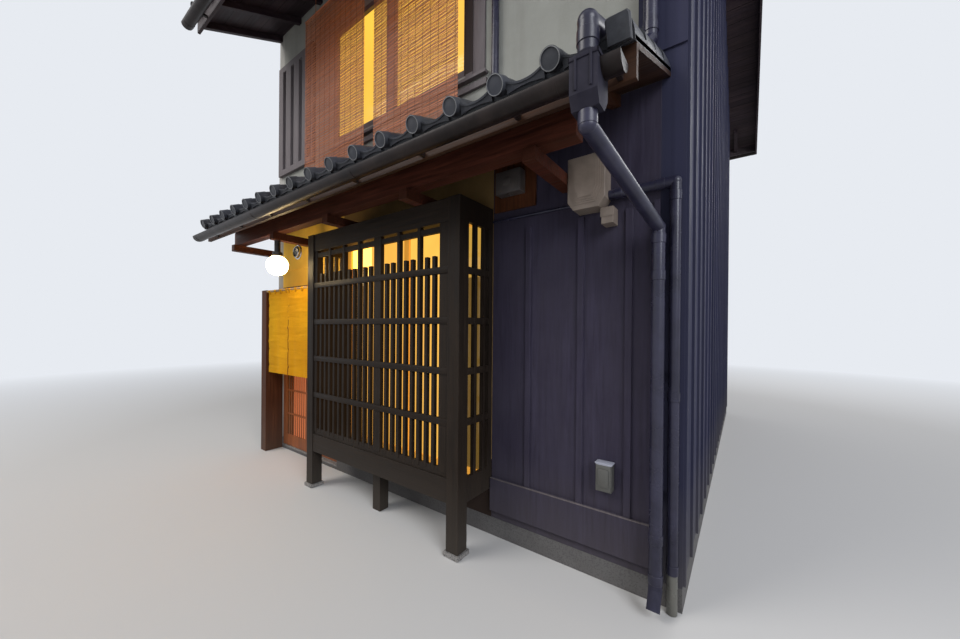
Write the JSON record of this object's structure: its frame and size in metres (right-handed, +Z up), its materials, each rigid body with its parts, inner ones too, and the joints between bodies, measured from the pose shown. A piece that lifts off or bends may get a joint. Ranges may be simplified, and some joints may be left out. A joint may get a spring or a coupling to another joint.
{
  "type": "machiya townhouse",
  "caption": "Narrow two-storey timber townhouse with a lattice bay, a curtained sliding entrance, a tiled pent roof and a gabled tile roof.",
  "frame": {"origin": "centre of the footprint at ground level", "axes": "+Z up, +X to the right along the front, +Y from the front into the house"},
  "size_m": [4.91, 7.504, 6.8215],
  "materials": {
    "concrete": "matte",
    "granite": "rough",
    "plaster": "matte",
    "brown_timber": "satin",
    "dark_timber": "satin",
    "painted_boards": "matte",
    "ribbed_siding": "satin",
    "aluminium_frame": "satin",
    "pane": "clear",
    "opal_glass": "frosted",
    "lamp_metal": "matte",
    "bamboo": "matte",
    "linen": "woven",
    "fired_tile": "satin",
    "gutter_plastic": "satin",
    "pipe_plastic": "satin",
    "beige_plastic": "satin"
  },
  "bodies": {
    "house": {"footing": "concrete", "upper_floor": "brown_timber", "panel_wall": "painted_boards", "side_wall": "ribbed_siding", "party_wall": "plaster", "rear_wall": "ribbed_siding", "rear_window_frames": "aluminium_frame", "rear_glass": "pane", "bay_back_wall": "plaster", "bay_window_frame": "brown_timber", "lower_front_glass": "pane", "bay_posts": "dark_timber", "post_stones": "granite", "bay_rails": "dark_timber", "bay_lattice_front": "dark_timber", "bay_lattice_sides": "dark_timber", "entrance_lintel": "plaster", "entrance_posts": "brown_timber", "door_sill": "granite", "door_head": "brown_timber", "side_leaf": "brown_timber", "noren_rod": "bamboo", "noren": "linen", "globe_lamp": "opal_glass", "lamp_holder": "lamp_metal", "eave_beam": "brown_timber", "pent_rafters": "brown_timber", "pent_roof_boards": "brown_timber", "pent_roof_tiles": "fired_tile", "pent_gutter": "gutter_plastic", "hopper_head": "gutter_plastic", "cross_pipe": "pipe_plastic", "downpipe": "pipe_plastic", "wall_pipes": "pipe_plastic", "meter_board": "brown_timber", "electric_boxes": "beige_plastic", "upper_front_wall": "plaster", "upper_window_frame": "brown_timber", "upper_front_glass": "pane", "upper_lattice": "painted_boards", "blinds": "bamboo", "eave_rafters_front": "brown_timber", "eave_rafters_rear": "brown_timber", "main_roof_boards": "brown_timber", "main_roof_tiles": "fired_tile", "ridge_tiles": "fired_tile", "main_gutters": "gutter_plastic", "barge_boards": "brown_timber"},
    "sliding_door": {"entrance_door": "brown_timber", "entrance_door_glass": "pane"}
  },
  "joints": [
    {"name": "entrance_door_slide", "type": "slide", "parent": "house", "child": "sliding_door", "axis": [1, 0, 0], "range_m": [0, 0.555]}
  ]
}
